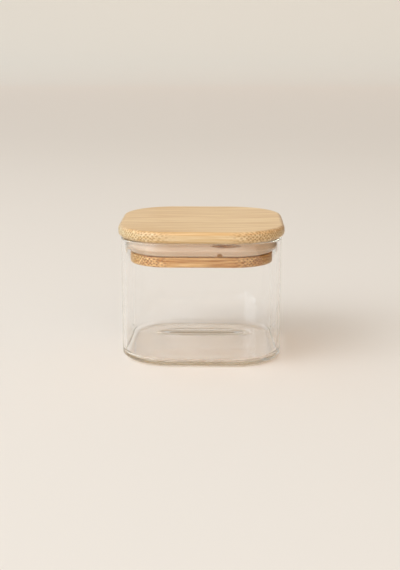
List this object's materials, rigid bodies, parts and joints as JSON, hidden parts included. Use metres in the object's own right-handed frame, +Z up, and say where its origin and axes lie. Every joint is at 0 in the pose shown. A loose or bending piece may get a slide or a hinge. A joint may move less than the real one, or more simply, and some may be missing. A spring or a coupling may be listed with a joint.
{
  "type": "lidded storage jar",
  "caption": "Rounded-square clear glass storage jar with a push-in bamboo lid sealed by a silicone ring.",
  "frame": {"origin": "middle of the foot ring, on the surface the jar stands on", "axes": "+Z up, the way the lid lifts; +X along the bamboo's grain; -Y towards the side with the seal's vent notch"},
  "size_m": [0.1036, 0.1036, 0.084],
  "materials": {
    "clear_glass": "clear blown borosilicate glass, fire-polished rim, faint olive tint in the thick base",
    "bamboo_plate": "sanded and oiled laminated bamboo, matt",
    "bamboo_plug": "sanded laminated bamboo, matt, slightly more orange",
    "clear_silicone": "clear to milky moulded silicone, satin"
  },
  "bodies": {
    "jar": {"glass_jar": "clear_glass"},
    "lid": {"lid_plate": "bamboo_plate", "lid_plug": "bamboo_plug", "seal_ring": "clear_silicone"}
  },
  "joints": [
    {"name": "lid_lift", "type": "slide", "parent": "jar", "child": "lid", "axis": [0, 0, 1], "range_m": [0, 0.1]}
  ]
}
